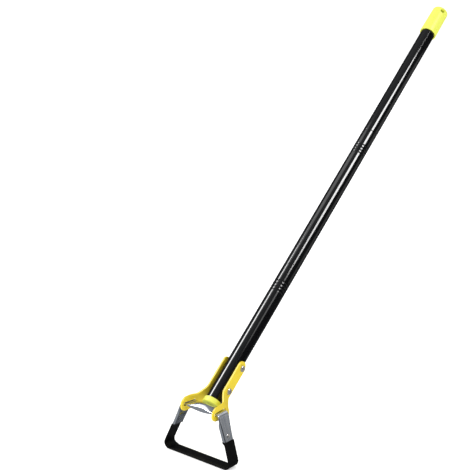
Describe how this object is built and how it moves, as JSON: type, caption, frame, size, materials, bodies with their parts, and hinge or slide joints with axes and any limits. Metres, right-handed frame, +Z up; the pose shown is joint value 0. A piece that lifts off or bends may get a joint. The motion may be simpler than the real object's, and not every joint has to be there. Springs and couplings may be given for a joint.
{
  "type": "stirrup hoe",
  "caption": "Stirrup hoe: a loop-shaped blade rocks in slotted bracket plates bolted to a tubular steel handle made of screwed-together sections with plastic end caps.",
  "frame": {"origin": "middle of the blade's underside, on the ground", "axes": "+X across the blade, +Y the way the handle leans, +Z up, with the blade flat on the ground"},
  "size_m": [0.1178, 0.6844, 0.6625],
  "materials": {
    "black_coat": "glossy black powder coat",
    "yellow_coat": "golden yellow powder coat",
    "lemon_plastic": "moulded lemon yellow plastic",
    "zinc_plate": "bright zinc plated",
    "blade_black": "satin black coating",
    "bright_steel": "bright plated steel",
    "cast_metal": "as cast"
  },
  "bodies": {
    "lower_handle": {"bottom_tube": "black_coat", "bottom_cap": "lemon_plastic", "lower_socket_insert": "cast_metal", "left_bracket_plate": "yellow_coat", "right_bracket_plate": "yellow_coat", "lower_bolt": "bright_steel", "lower_washer": "bright_steel", "lower_nut": "bright_steel", "upper_bolt": "bright_steel", "upper_washer": "bright_steel", "upper_nut": "bright_steel"},
    "middle_section": {"middle_tube": "black_coat", "lower_stud_insert": "cast_metal", "upper_socket_insert": "cast_metal"},
    "top_section": {"top_tube": "black_coat", "upper_stud_insert": "cast_metal", "top_cap": "lemon_plastic"},
    "stirrup": {"stirrup_frame": "zinc_plate", "blade": "blade_black", "left_rivet": "bright_steel", "right_rivet": "bright_steel"}
  },
  "joints": [
    {"name": "stirrup_swing", "type": "hinge", "parent": "lower_handle", "child": "stirrup", "pos_m": [0, 0, 0.0774], "axis": [1, 0, 0], "range_deg": [-8, 8]},
    {"name": "middle_section_unscrew", "type": "slide", "parent": "lower_handle", "child": "middle_section", "axis": [0, 0.7431, 0.6691], "range_m": [0, 0.022]},
    {"name": "top_section_unscrew", "type": "slide", "parent": "middle_section", "child": "top_section", "axis": [0, 0.7431, 0.6691], "range_m": [0, 0.022]}
  ]
}
